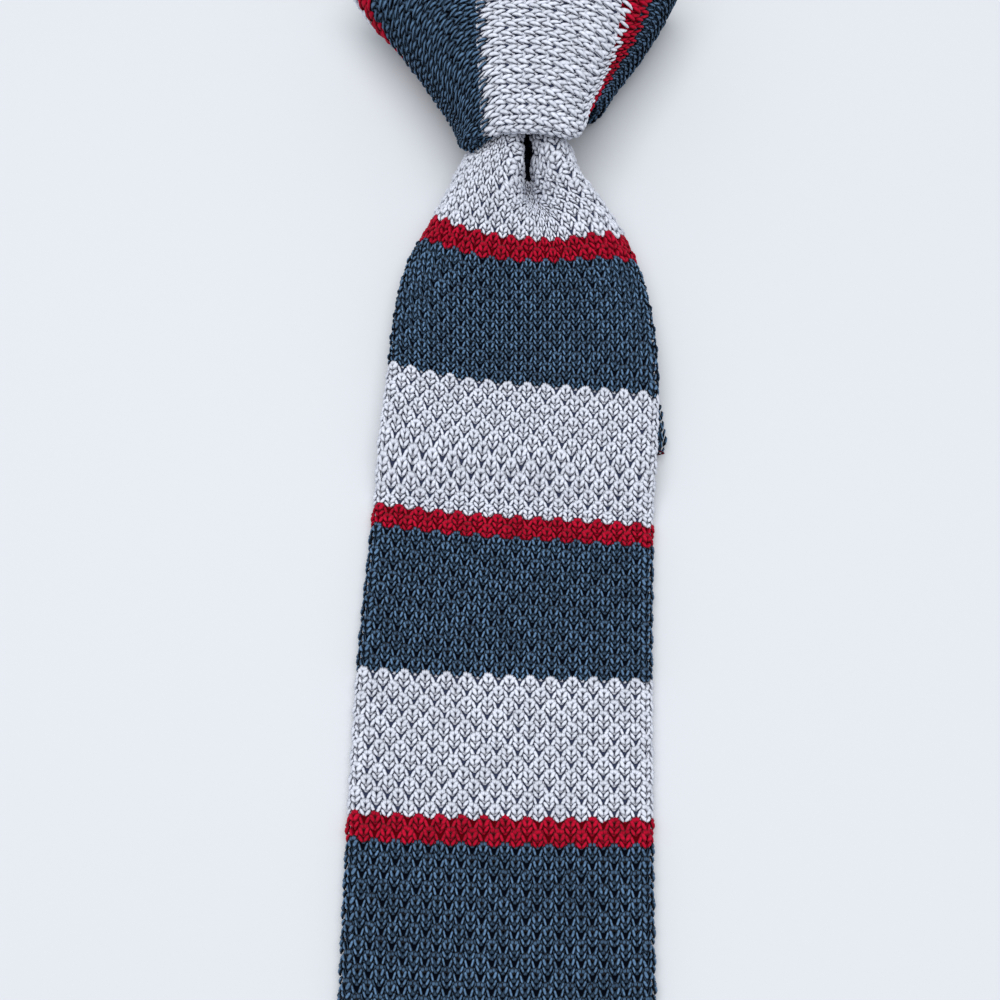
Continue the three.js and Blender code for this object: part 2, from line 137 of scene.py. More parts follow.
DRIFT_ROWS = table(
    "at side",
    (0.0, 0.073),
    (0.012, 0.066),
    (0.04, 0.079),
    (0.09, 0.084),
    (0.15, 0.052),
    (0.24, 0.012),
    (0.36, -0.01),
    (0.65, -0.03),
    (1.0, -0.04),
)

TAIL_ROWS = table(
    "at side lift width",
    (-1.0, 0.236, 0, 1),
    (-0.75, 0.212, 0, 0.95),
    (-0.5, 0.16, 0, 0.84),
    (-0.25, 0.12, 0, 0.64),
    (-0.1, 0.1, 0.08, 0.48),
    (0.0, 0.09, 0.24, 0.37),
    (0.1, 0.09, 0.34, 0.34),
    (0.39, 0.09, 1, 0.36),
    (1.0, 0.17, 1, 0.4),
)

WRAP_START, WRAP_END = 0.29, 1.535
WRAP_ROWS = table(
    "at low high out tall",
    (0.29, 0.44, 0.72, 0, 0),
    (0.42, 0.38, 0.8, 0, 0),
    (0.62, 0.26, 0.92, 0.6, 0.12),
    (0.75, 0.05, 1, 1, 0.5),
    (0.82, -0.03, 1, 1, 0.75),
    (0.9, -0.02, 1, 1, 0.95),
    (1.0, 0, 1, 1, 1),
    (1.1, -0.005, 1, 1, 1),
    (1.155, 0.01, 1, 1, 1),
    (1.21, 0.2, 1, 1, 1),
    (1.27, 0.31, 1, 1, 1),
    (1.4, 0.31, 0.97, 1, 1),
    (1.5, 0.18, 0.9, 1, 1),
)

# How far down the blade its courses lie. Course 0 is the upper edge of the first red stripe below the knot
COURSE_ROWS = table(
    "course along",
    (-45, -180),
    (-4.7, 17),
    (0, 38.6),
    (1, 43.6),
    (7, 71.2),
    (13, 100.6),
    (14, 105.2),
    (20, 135.8),
    (26, 164.9),
    (27, 170.2),
    (33, 202.6),
    (99, 533.8),
)

# How far the blade's edges lag behind its middle, in millimetres, by the distance down from the origin
LAG_ROWS = table(
    "along left right",
    (0, 12, 3.6),
    (30, 12.2, 3.6),
    (60, 6.5, 1),
    (72, 4, -0.8),
    (100, 1.5, 0),
    (160, 0.5, 0.5),
    (600, 0, 0),
)

# The courses on the front of the knot, by the height on it: where navy meets grey, and how long a course is to the
# left and to the right of that
FAN_ROWS = table(
    "at start left right",
    (0, -8.6, 3.6, 4.1),
    (0.22, -9.2, 4.0, 4.87),
    (0.64, -10.2, 4.7, 5.47),
    (1.0, -10.8, 4.5, 5.83),
)
# By the course on the knot's front: how far the wales slant, in wales, and how far the strands on one side of a wale
# stand above those on its other side, in millimetres
SLANT_ROWS = ((-4, 2, 6, 8, 10, 14, 22), (-7.2, -4.4, -1.0, 0, 0, -1.6, -2.4))
LEAN_ROWS = ((5, 7, 9, 13), (-0.12, -0.04, 0.02, 0.10))
SLANT_ROOM = 6  # wales beyond each side of the knot's face, which the slant brings in


def column(rows, name, at):
    """A column of a table at places between its rows, joined by curves that never overshoot a row."""
    x, y = next(iter(rows.values())), rows[name]
    at = np.clip(at, x[0], x[-1])
    i = np.clip(np.searchsorted(x, at, "right") - 1, 0, len(x) - 2)
    rise = np.diff(y) / np.diff(x)
    tangent = np.zeros(len(x))
    before, after = rise[:-1], rise[1:]
    same = before * after > 0
    tangent[1:-1][same] = 2 * before[same] * after[same] / (before + after)[same]
    span = x[i + 1] - x[i]
    t = (at - x[i]) / span
    return (
        (2 * t**3 - 3 * t**2 + 1) * y[i]
        + (t**3 - 2 * t**2 + t) * span * tangent[i]
        + (3 * t**2 - 2 * t**3) * y[i + 1]
        + (t**3 - t**2) * span * tangent[i + 1]
    )


def smooth(start, end, value):
    t = np.clip((np.asarray(value, float) - start) / (end - start), 0, 1)
    return t * t * (3 - 2 * t)


def mix(a, b, t):
    return a + (b - a) * t


def unit(vectors):
    return vectors / np.maximum(np.linalg.norm(vectors, axis=-1, keepdims=True), 1e-9)


# Cloth: a flattened tube round a middle surface


class Cloth:
    """Points and normals round a flattened tube, by station along it and by column round it.

    Each column is a line of the knit, and wales counts stitches from the middle of the face. half is half the cloth's
    thickness at each station, and face says on which side of the middle surface the face lies. courses holds the
    course at each point, and deep is 1 where the cloth lies so deep in a fold that it has no stitches."""

    def __init__(self, middle, half, wales, face=1.0):
        wide = unit(np.gradient(middle, axis=1))
        along = unit(np.gradient(middle, axis=0))
        normal = unit(np.cross(wide, along)) * face
        half = half[:, None, None]
        top, bottom = middle + normal * half, (middle - normal * half)[:, ::-1]
        turns = np.pi * np.arange(1, EDGE_STEPS) / EDGE_STEPS

        def edge(side, start):
            n, w = normal[:, side, None], wide[:, side, None]
            angle = (turns + start)[None, :, None]
            way = n * np.cos(angle) + w * np.sin(angle)
            return middle[:, side, None] + half * way, way

        right, right_way = edge(-1, 0)
        left, left_way = edge(0, np.pi)
        self.points = np.concatenate([top, right, bottom, left], axis=1)
        self.normals = np.concatenate([normal, right_way, -normal[:, ::-1], left_way], axis=1)
        flat = np.linspace(-wales / 2, wales / 2, middle.shape[1])
        bend = wales / 2 + FOLD_WALES * np.arange(1, EDGE_STEPS) / EDGE_STEPS
        self.wales = np.concatenate([flat, bend, flat + wales + FOLD_WALES, bend + wales + FOLD_WALES])
        self.round = 2 * (wales + FOLD_WALES)
        self.edge = self.round / 4
        self.courses = None
        # deep also marks where the cloth is painted dark as shade, deep in a fold
        self.deep = None

    def at(self, grid, station, wale):
        """A grid's value at fractions of a station and at wales, between its points."""
        count, columns = self.points.shape[:2]
        ring = np.concatenate([self.wales, [self.wales[0] + self.round]])
        wale = (wale - ring[0]) % self.round + ring[0]
        k = np.clip(np.searchsorted(ring, wale, "right") - 1, 0, columns - 1)
        b = (wale - ring[k]) / (ring[k + 1] - ring[k])
        i = np.clip(np.floor(station).astype(int), 0, count - 2)
        a = np.clip(station - i, 0, 1)
        if grid.ndim == 3:
            a, b = a[..., None], b[..., None]
        k2 = (k + 1) % columns
        return (1 - a) * ((1 - b) * grid[i, k] + b * grid[i, k2]) + a * (
            (1 - b) * grid[i + 1, k] + b * grid[i + 1, k2]
        )

    def station(self, course, wale):
        """The station at which a wale reaches a course."""
        low = np.zeros(np.shape(course))
        high = np.full(np.shape(course), len(self.points) - 1.0)
        for _ in range(16):
            middle = (low + high) / 2
            short = self.at(self.courses, middle, wale) < course
            low = np.where(short, middle, low)
            high = np.where(short, high, middle)
        return (low + high) / 2

    def place(self, course, wale, height):
        """Points in metres at a course, a wale and a height above the cloth's surface in millimetres."""
        station = self.station(course, wale)
        point = self.at(self.points, station, wale)
        point = (point + self.at(self.normals, station, wale) * height[..., None]) * MM
        # Stitches under the cloth are pressed flat by the table
        point[..., 2] = np.maximum(point[..., 2], 0.0)
        return point


def mesh_object(name, points, faces, uv_name=None, uvs=None):
    """A smooth mesh. faces is a list of arrays of corners, each array for one number of corners."""
    mesh = bpy.data.meshes.new(name)
    corners = np.concatenate([f.reshape(-1) for f in faces]).astype(np.int32)
    sizes = np.concatenate([np.full(len(f), f.shape[1]) for f in faces]).astype(np.int32)
    mesh.vertices.add(len(points))
    mesh.vertices.foreach_set("co", np.ascontiguousarray(points, np.float32).reshape(-1))
    mesh.loops.add(len(corners))
    mesh.loops.foreach_set("vertex_index", corners)
    mesh.polygons.add(len(sizes))
    mesh.polygons.foreach_set("loop_start", np.concatenate([[0], np.cumsum(sizes)[:-1]]).astype(np.int32))
    mesh.polygons.foreach_set("use_smooth", np.ones(len(sizes), bool))
    if uvs is not None:
        uv_map = mesh.uv_layers.new(name=uv_name)
        uv_map.data.foreach_set("uv", np.ascontiguousarray(uvs, np.float32).reshape(-1))
    mesh.update(calc_edges=True)
    mesh.validate()
    made = bpy.data.objects.new(name, mesh)
    bpy.context.collection.objects.link(made)
    return made


def cloth_object(name, cloth, material, shaded=None):
    """The tube itself as a closed mesh, with wales and courses as its UV map. shaded is the material of painted shade
    deep in a fold.
    """
    # The mesh takes every second station, and all of the last five, where the cloth's end is rounded
    last = len(cloth.points) - 5
    kept = np.r_[0, 1:last:2, last : len(cloth.points)]
    grid, courses = cloth.points[kept], cloth.courses[kept]
    count, columns = grid.shape[:2]
    index = np.arange(count * columns).reshape(count, columns)

    def corners(here, beside):
        return np.stack([here[:-1], beside[:-1], beside[1:], here[1:]], axis=-1)

    quads = corners(index, np.roll(index, -1, axis=1)).reshape(-1, 4)
    wales, wales_beside = (
        np.tile(row, (count, 1)) for row in (cloth.wales, np.append(cloth.wales[1:], cloth.wales[0] + cloth.round))
    )
    uv = np.stack([corners(wales, wales_beside), corners(courses, np.roll(courses, -1, axis=1))], axis=-1)
    ends = np.stack([index[0][::-1], index[-1]])
    end_uv = np.stack([np.stack([wales[k], courses[k]], axis=-1) for k in (0, -1)])
    end_uv[0] = end_uv[0][::-1]
    points = grid.reshape(-1, 3) * MM
    centre = points.mean(axis=0)
    p = points[quads]
    volume = np.einsum("ij,ij->i", p[:, 0] - centre, np.cross(p[:, 1] - centre, p[:, 2] - centre)).sum()
    if volume < 0:
        quads, uv, ends, end_uv = quads[:, ::-1], uv[:, :, ::-1], ends[:, ::-1], end_uv[:, ::-1]
    uvs = np.concatenate([uv.reshape(-1, 2), end_uv.reshape(-1, 2)])
    made = mesh_object(name, points, [quads, ends], "knit", uvs)
    made.data.materials.append(material)
    if shaded is not None:
        made.data.materials.append(shaded)
        # Faces deep in the fold take the painted shade material
        deep = cloth.deep[kept].reshape(-1)[quads].mean(axis=1) > 0.4
        made.data.polygons.foreach_set("material_index", np.r_[deep, False, False].astype(np.int32))
    return made


# Stitches: each repeat of the knit is three pairs of strands, mirrored about the middle of its wale


class Strand:
    """One strand of a pair: start and end by wale and course, its width in wales, and its heights and thickness in mm.

    heights are those of its start, middle and end, bow is how far its middle curves outwards, and early, below 1,
    brings its widest place nearer its start. kind is 0 for an arch, 1 for a leg and 2 for the knot's chains."""

    def __init__(self, start, end, width, heights, thick, bow=0.0, early=1.0, kind=1):
        self.start, self.end, self.width, self.kind = start, end, width, kind
        self.heights, self.thick, self.bow, self.early = heights, thick, bow, early

    def shape(self, around, rings):
        """Wale, course and height of its points, its quads, the fans at its two ends, and the UV corners of both."""
        rings = np.array(rings)
        count, spokes = len(rings), len(around)
        t = np.concatenate([[0], np.repeat(rings, spokes), [1]])
        swell = np.repeat(np.sin(np.pi * rings**self.early) ** 0.5, spokes)
        angle = np.radians(np.tile(around, count))
        side = np.concatenate([[0], swell * np.cos(angle), [0]]) * self.width / 2
        up = np.concatenate([[0], swell * np.sin(angle), [0]]) * self.thick / 2
        du, dv = self.end[0] - self.start[0], self.end[1] - self.start[1]
        long, wide = dv * COURSE_LENGTH, du * WALE_WIDTH
        size = math.hypot(long, wide)
        h0, h1, h2 = self.heights
        u = self.start[0] + du * t + self.bow * np.sin(np.pi * t) + side * long / size
        v = self.start[1] + dv * t - side * WALE_WIDTH * wide / size / COURSE_LENGTH
        height = h0 + (h2 - h0) * t + (h1 - (h0 + h2) / 2) * np.sin(np.pi * t) + up
        ring = np.arange(count * spokes).reshape(count, spokes) + 1
        beside = np.roll(ring, -1, axis=1)
        quads = np.stack([ring[:-1], beside[:-1], beside[1:], ring[1:]], axis=-1).reshape(-1, 4)
        first = np.stack([np.zeros(spokes, int), beside[0], ring[0]], axis=-1)
        last = np.stack([np.full(spokes, count * spokes + 1), ring[-1], beside[-1]], axis=-1)
        spans = [(s / spokes, (s + 1) / spokes) for s in range(spokes)]
        quad_uv = [
            corner
            for here, there in zip(rings, rings[1:])
            for a, b in spans
            for corner in ((here, a), (here, b), (there, b), (there, a))
        ]
        fan_uv = [corner for a, b in spans for corner in ((0, a), (rings[0], b), (rings[0], a))]
        fan_uv += [corner for a, b in spans for corner in ((1, a), (rings[-1], a), (rings[-1], b))]
        return u, v, height, quads, np.concatenate([first, last]), np.array(quad_uv), np.array(fan_uv)
STRANDS = (
    Strand((0.47, -0.03), (0.07, 0.32), 0.43, (0.28, 0.64, 0.36), 0.76, bow=0.02, early=0.9),
    Strand((0.50, 0.28), (0.05, 0.57), 0.35, (0.12, 0.47, 0.26), 0.70, bow=0.02),
    Strand((0.52, 0.54), (0.10, 0.94), 0.35, (0.08, 0.42, 0.20), 0.66),
)
# The loop's head shows as an arch over the first pair, painted dim as shade
ARCH = Strand((0.44, 0.0), (-0.10, -0.05), 0.75, (0.3, 0.52, 0.5), 0.66, kind=0)
# On the knot the cloth is drawn out, so each repeat shows two alike pairs
KNOT_STRANDS = (
    Strand((0.45, -0.05), (0.11, 0.48), 0.44, (0.12, 0.58, 0.20), 0.72, bow=0.03, early=0.8, kind=2),
    Strand((0.45, 0.45), (0.11, 0.98), 0.44, (0.10, 0.54, 0.18), 0.72, bow=0.03, early=0.8, kind=2),
)
# Along a folded edge stitches stand this much higher, and their yarn is this much wider
KNOB, KNOB_WIDTH = 0.4, 1.25
START_EARLY = 0.03  # how far before its own course a strand may start
# Detail of a strand: the angles of the points round it, in degrees, and the places of its rings along it
FINE = ((180, 120, 60, 0, 270), (0.1, 0.34, 0.66, 0.9))
PLAIN = ((190, 90, -10), (0.24, 0.76))
YARNS = ("red", "navy", "grey")


def yarn_of(course):
    """Which yarn knits a course, by its place in YARNS."""
    band = np.mod(np.floor(course + 0.001), REPEAT)
    return np.where(band < RED_END, 0, np.where(band < NAVY_END, 1, 2))


def stitch_objects(
    name, cloth, wales, courses, materials, seed, detail=FINE, strands=STRANDS, step=0.5, lean=None, skew=None
):
    """Strands over part of a cloth, one object for each yarn. wales and courses are (first, last).

    step is how far each second wale is moved on. lean gives how far the strands on one side of a wale stand above
    those on its other side, and skew how far the wales slant, both by the course."""
    noise = np.random.default_rng(seed)
    j, n = (grid.reshape(-1) for grid in np.meshgrid(np.arange(*wales), np.arange(*courses), indexing="ij"))
    n = n + step * np.mod(j, 2)
    if skew is not None:
        kept = np.abs(j + 0.5 + skew(n)) < (wales[1] - wales[0]) / 2 - SLANT_ROOM
        j, n = j[kept], n[kept]
    if cloth.deep is not None:
        kept = cloth.at(cloth.deep, cloth.station(n + 0.5, j + 0.5), j + 0.5) < 0.5
        j, n = j[kept], n[kept]
    leaning = np.zeros(len(n)) if lean is None else lean(n)
    # Along each folded edge the stitches stand out as rows of knobs, most of all in the middle one
    off_edge = np.abs(np.abs(j + 0.5) - cloth.edge)
    knob = np.clip(1 - 0.7 * off_edge, 0, 1) if skew is None else np.zeros(len(n))
    gathered = [([], [], [], [], []) for _ in YARNS]
    for strand in strands:
        for side in (1, -1):
            u, v, h, quads, fans, quad_uv, fan_uv = strand.shape(*(PLAIN if strand is ARCH else detail))
            # A strand's UV runs from just above its kind's number to just below the next
            for uv in (quad_uv, fan_uv):
                uv[:, 0] = uv[:, 0] * 0.96 + 0.02 + strand.kind
            shift_u, shift_v, lift = (noise.normal(0, spread, len(j))[:, None] for spread in (0.022, 0.02, 0.05))
            yarn = yarn_of(n + strand.start[1] + START_EARLY)
            # The navy yarn is the thinnest and leaves the widest gaps
            width = np.where(yarn == 1, bpy.context.scene.tie_stitches.navy_width, 1)
            width = (noise.normal(1, 0.07, len(j)) * mix(width, KNOB_WIDTH, knob))[:, None]
            middle = u.mean()
            wale = j[:, None] + 0.5 + side * (middle + (u - middle) * width) + shift_u
            course = n[:, None] + v + shift_v
            if skew is not None:
                wale = wale + skew(course)
            height = h + lift + (KNOB * knob + side * leaning)[:, None]
            if side < 0:
                quads, fans = quads[:, ::-1], fans[:, ::-1]
                quad_uv = quad_uv.reshape(-1, 4, 2)[:, ::-1].reshape(-1, 2)
                fan_uv = fan_uv.reshape(-1, 3, 2)[:, ::-1].reshape(-1, 2)
            for k, parts in enumerate(gathered):
                mine = yarn == k
                count = int(mine.sum())
                if count:
                    points = cloth.place(course[mine], wale[mine], height[mine]).reshape(-1, 3)
                    offset = sum(map(len, parts[0])) + len(u) * np.arange(count)[:, None, None]
                    faces = (quads + offset).reshape(-1, 4), (fans + offset).reshape(-1, 3)
                    corners = np.tile(quad_uv, (count, 1)), np.tile(fan_uv, (count, 1))
                    for part, more in zip(parts, (points, *faces, *corners)):
                        part.append(more)
    made = []
    for k, (points, quads, fans, quad_uv, fan_uv) in enumerate(gathered):
        if points:
            faces = [np.concatenate(quads), np.concatenate(fans)]
            uvs = np.concatenate(quad_uv + fan_uv)
            piece = mesh_object(f"{name}_{YARNS[k]}_stitches", np.concatenate(points), faces, "strand", uvs)
            piece.data.materials.append(materials[k])
            made.append(piece)
    return made


# The four lengths of cloth. slim is how much each is slimmer on each side, so that its stitches fill it out again


def folded_lines(width, roll, dimple, slit, valley):
    """Lines across the folded blade, one for each station: sideways and up, with the highest point at 0.

    roll and dimple are the steepest slopes of the edges and of the dimple, slit is how far the dimple has closed, and
    valley says where its middle lies. The third result is how far each point lies from there, in reaches."""
    fine = 160
    half = width[:, None] / 2
    share = width[:, None] / (BLADE_WIDTH - CLOTH)
    u = mix(-half, half, ((np.arange(fine) + 0.5) / fine)[None])
    reach = (u - valley[:, None] * share) / (DIMPLE_REACH * share)
    wall = reach * np.exp((1 - reach**2) / 2)
    # The slit has a narrow flat floor and almost upright walls
    steep = np.sign(reach) * smooth(0.26, 0.55, np.abs(reach)) * smooth(2.6, 2.15, np.abs(reach)) * 89
    dimple_slope = mix(dimple[:, None] * wall, steep, slit[:, None])
    bend = np.sign(u) * smooth(0.2, 1, np.abs(u) / half)
    slope = np.radians(dimple_slope) - np.radians(roll)[:, None] * bend
    step = width[:, None] / fine
    x = np.concatenate([-half, -half + np.cumsum(step * np.cos(slope), axis=1)], axis=1)
    z = np.concatenate([np.zeros_like(half), np.cumsum(step * np.sin(slope), axis=1)], axis=1)
    x = x - (x.min(axis=1) + x.max(axis=1))[:, None] / 2
    z = z - z.max(axis=1)[:, None]
    # Wales are drawn out on the steep sides and walls, and crowd on the rounded folds between them
    drawn = mix(1, np.clip(np.cos(slope), 0.2, 1), np.clip(roll / 60, 0, 1)[:, None])
    gone = np.concatenate([np.zeros_like(half), np.cumsum(drawn, axis=1)], axis=1)
    at = np.array([np.interp(np.linspace(0, line[-1], BLADE_COLUMNS), line, np.arange(fine + 1)) for line in gone])
    i = np.clip(np.floor(at).astype(int), 0, fine - 1)
    t = at - i
    x, z = (np.take_along_axis(v, i, 1) * (1 - t) + np.take_along_axis(v, i + 1, 1) * t for v in (x, z))
    return x, z, np.take_along_axis(reach, i, 1)


def blade_side(y):
    """How far the blade's middle lies to the right of the origin."""
    return column(DRIFT_ROWS, "side", (FOOT - y) / BLADE_DROP) * BLADE_WIDTH


def rounded_end(distance):
    """The share of the full thickness near a cloth's rounded end."""
    return np.sqrt(1 - (1 - np.clip(distance / (CLOTH / 2), 0.15, 1)) ** 2)


def blade_cloth(slim):
    """The blade from its leg behind the knot over the fold to its end."""
    across = np.linspace(-1, 1, BLADE_COLUMNS)
    ones = np.ones(BLADE_COLUMNS)
    # The leg and the fold, each line with its distance along the cloth
    ahead = []
    for y in np.linspace(LEG_START, FOLD_Y, 9)[:-1]:
        half = (mix(LEG_WIDTH, FOLD_WIDTH, (y - LEG_START) / (FOLD_Y - LEG_START)) - KNOT_CLOTH) / 2
        line = np.stack([blade_side(y) + across * half, y * ones, LEG * ones], -1)
        ahead.append((y - FOLD_Y - np.pi * FOLD_RADIUS - FOLD_Y, line))
    half = (FOLD_WIDTH - KNOT_CLOTH) / 2
    for turn in np.linspace(-np.pi / 2, np.pi / 2, 17)[:-1]:
        y = FOLD_Y + FOLD_RADIUS * np.cos(turn)
        z = (LEG + DOWN_PASS) / 2 + FOLD_RADIUS * np.sin(turn)
        line = np.stack([blade_side(FOLD_Y) + across * half, y * ones, z * ones], -1)
        ahead.append((-FOLD_Y - (np.pi / 2 - turn) * FOLD_RADIUS, line))
    # The way down, with short steps near the knot and at the end
    lie = TAIL_END - STEP_LENGTH
    y = np.concatenate(
        [
            np.arange(FOLD_Y, 0, -2.0),
            np.arange(0, FOOT - FAN_LENGTH, -0.8),
            np.arange(FOOT - FAN_LENGTH, lie, -1.2),
            np.arange(lie, BLADE_END + 4, -3.5),
            BLADE_END + np.array([2.4, 1.6, 0.8, 0.3, 0]),
        ]
    )
    at = np.where(y > FOOT, (y - FOOT) / KNOT_LENGTH, (y - FOOT) / FAN_LENGTH)
    lift = column(BLADE_ROWS, "lift", at)
    off_tail = smooth(0, STEP_LENGTH, TAIL_END - y)
    z = mix(mix(ON_TAIL, DOWN_PASS, lift), ON_TABLE, off_tail)
    width = column(BLADE_ROWS, "width", at) * (BLADE_WIDTH - CLOTH)
    width = mix(FOLD_WIDTH - KNOT_CLOTH, width, smooth(0, KNOT_LENGTH / 2, FOLD_Y - y))
    roll = column(BLADE_ROWS, "roll", at) * (1 - off_tail)
    dimple = column(BLADE_ROWS, "dimple", at)
    valley = DIMPLE_OFFSET + VALLEY_SLANT * np.clip(-at, 0, 0.8)
    # Just below the knot the dimple closes to a steep slit, with the fold's outline kept as wide as without it
    slit = smooth(-0.3, -0.04, at) * smooth(0.24, 0.12, at)
    open_side = folded_lines(width, roll, dimple, 0 * slit, valley)[0]
    cut = width
    for _ in range(4):
        side, up, reach = folded_lines(cut, roll, dimple, slit, valley)
        cut = cut + np.ptp(open_side, axis=1) - np.ptp(side, axis=1)
    slant = ((blade_side(y - 1) - blade_side(y + 1)) / 2)[:, None]
    down = np.stack([blade_side(y)[:, None] + side, y[:, None] + side * slant, z[:, None] + up], -1)
    middle = np.concatenate([np.stack([line for _, line in ahead]), down])
    along = np.concatenate([[s for s, _ in ahead], -y])
    thick = np.where(y > FOOT, KNOT_CLOTH, mix(KNOT_CLOTH, CLOTH, smooth(0, FAN_LENGTH / 2, FOOT - y)))
    half = np.concatenate([np.full(len(ahead), KNOT_CLOTH / 2 - slim), (thick / 2 - slim) * rounded_end(y - BLADE_END)])
    cloth = Cloth(middle, half, wales=26, face=-1.0)
    wale = np.where(cloth.wales > cloth.round / 2, cloth.wales - cloth.round, cloth.wales)
    share = np.clip(np.abs(wale) / cloth.edge, 0, 1) ** 2
    lag_left, lag_right = (column(LAG_ROWS, name, along) for name in ("left", "right"))
    lag = np.where(wale < 0, lag_left[:, None], lag_right[:, None]) * share
    cloth.courses = np.interp(along[:, None] + lag, COURSE_ROWS["along"], COURSE_ROWS["course"])
    # Where the slit is deepest its stitches are left out and its cloth is painted dark as shade
    cloth.deep = np.zeros(cloth.points.shape[:2])
    wedge = 1.5 * smooth(-0.06, 0.03, at) * smooth(0.3, 0.25, at)
    cloth.deep[len(ahead) :, :BLADE_COLUMNS] = np.abs(reach) < wedge[:, None]
    return cloth


def wrap_cloth(slim):
    """The wrap round the knot, from its hidden start behind the tail to its flat back pass."""
    turn = np.linspace(WRAP_START, WRAP_END, 190)
    across = np.linspace(0, 1, WRAP_COLUMNS)
    # On the left flank the wales run together towards the lower edge
    gather = 1 + 0.35 * smooth(0.97, 0.76, turn)
    share = across[None] ** gather[:, None]
    wrap = {name: column(WRAP_ROWS, name, turn)[:, None] for name in ("low", "high", "out", "tall")}
    inset = CLOTH / 2 / KNOT_LENGTH
    at = mix(wrap["low"] + inset, wrap["high"] - inset, share)
    row = {name: column(KNOT_ROWS, name, at) for name in KNOT_ROWS}
    sine, cosine = (f(2 * np.pi * turn)[:, None] for f in (np.sin, np.cos))
    outer = np.where(sine < 0, row["left"], row["right"]) * KNOT_WIDTH - CLOTH / 2
    half = outer - (1 - wrap["out"]) * INNER_STEP
    front = mix(CROSSING, FRONT_PASS * row["face"], wrap["tall"])
    back = mix(UNDER_PASS, BACK_PASS - LAYER_GAP, wrap["tall"])
    square = np.where(cosine < 0, BACK_SQUARE, np.where(sine < 0, row["left_square"], row["right_square"]))

    def bent(value):
        return np.sign(value) * np.abs(value) ** (2 / square)

    x = KNOT_SIDE + half * bent(sine)
    y = FOOT + at * KNOT_LENGTH
    z = np.maximum(BACK_PASS, (front + back) / 2 + (front - back) / 2 * bent(cosine))
    middle = np.stack([x, y, z], -1)
    squeezed = mix(CLOTH, KNOT_CLOTH, smooth(1.2, 1.45, turn))
    thick = mix(KNOT_CLOTH, squeezed, smooth(0.6, 0.9, turn))
    cloth = Cloth(middle, thick / 2 - slim, wales=20, face=-1.0)
    # Courses fan out from the lower edge, so each height on the knot has its own pitch
    steps = np.linalg.norm(np.diff(middle, axis=0), axis=2)
    length = np.concatenate([np.zeros((1, WRAP_COLUMNS)), np.cumsum(steps, axis=0)])
    zero, height = (np.array([np.interp(1.0, turn, line) for line in grid.T]) for grid in (length, at))
    past = length - zero - column(FAN_ROWS, "start", height)
    pitch = np.where(past < 0, column(FAN_ROWS, "left", height), column(FAN_ROWS, "right", height))
    face = NAVY_END + past / pitch
    edge = np.ones((1, EDGE_STEPS - 1))
    cloth.courses = np.concatenate([face, face[:, -1:] * edge, face[:, ::-1], face[:, :1] * edge], axis=1)
    return cloth


def loop_line(whole_turn):
    """The neck loop's middle line in plan, from its left arm round the nape to its right arm, and its heading."""
    s = (np.arange(LOOP_STEPS) + 0.5) / LOOP_STEPS
    heading = whole_turn / 2 - whole_turn * (s - np.sin(2 * np.pi * s) / (2 * np.pi))
    step = (NECK_LENGTH + ARM_EXTRA) / LOOP_STEPS
    x = np.concatenate([[0], np.cumsum(step * np.cos(heading))])
    y = np.concatenate([[0], np.cumsum(step * np.sin(heading))])
    return x, y, np.concatenate([[whole_turn / 2], heading])


def closed_loop():
    """The line whose two arms end their spacing apart."""
    low, high = math.radians(180), math.radians(330)
    for _ in range(40):
        middle = (low + high) / 2
        if loop_line(middle)[0][-1] > ARM_SPACING:
            low = middle
        else:
            high = middle
    return loop_line(low)


LOOP = closed_loop()
ARM_HEADING = LOOP[2][0]
BEND_ANGLE = math.pi - ARM_HEADING
CROSSING_SHARE = CROSSING_BEND * BEND_ANGLE / (NECK_LENGTH + ARM_EXTRA)


def loop_cloth(slim):
    """The neck loop: two flat arms that turn up on edge round the neck, and the first pass across the knot."""
    place = np.concatenate([np.linspace(-CROSSING_SHARE, 0, 16)[:-1], np.linspace(0, 1, 300)])
    across = np.linspace(-1, 1, LOOP_COLUMNS)[None]
    at = np.clip(place, 0, 1) * LOOP_STEPS
    x, y, heading = (np.interp(at, np.arange(LOOP_STEPS + 1), part) for part in LOOP)
    start_x, start_y = KNOT_SIDE - ARM_SPACING / 2, FOOT + ARM_RISE
    bend = place < 0
    turned = ARM_HEADING - place / CROSSING_SHARE * BEND_ANGLE
    x = start_x + np.where(bend, -CROSSING_BEND * (np.sin(turned) - math.sin(ARM_HEADING)), x)
    y = start_y + np.where(bend, CROSSING_BEND * (np.cos(turned) - math.cos(ARM_HEADING)), y)
    heading = np.where(bend, turned, heading)
    near = np.minimum(place, 1 - place)
    upright = smooth(TWIST_FROM, TWIST_TO, near) * (np.pi / 2)
    half = (mix(ARM_WIDTH, NECK_WIDTH, smooth(TWIST_FROM / 2, TWIST_TO, near)) - CLOTH) / 2
    z = mix(NECK_WIDTH / 2, np.where(place < 0.5, CROSSING, TAIL_NECK), 1 - smooth(0, TWIST_FROM, near))
    reach = across * (half * np.cos(upright))[:, None]
    middle = np.stack(
        [
            x[:, None] + reach * np.sin(heading)[:, None],
            y[:, None] - reach * np.cos(heading)[:, None],
            z[:, None] + across * (half * np.sin(upright))[:, None],
        ],
        -1,
    )
    thick = mix(KNOT_CLOTH, CLOTH, smooth(TWIST_FROM, TWIST_TO, near))
    # Courses run from the tail round the nape to the knot, so the grid is turned round to count them upwards
    cloth = Cloth(middle[::-1], thick[::-1] / 2 - slim, wales=12)
    along = (1 - place[::-1]) * (NECK_LENGTH + ARM_EXTRA)
    cloth.courses = np.repeat((along / PLAIN_COURSE)[:, None] + LOOP_COURSE, cloth.points.shape[1], axis=1)
    return cloth


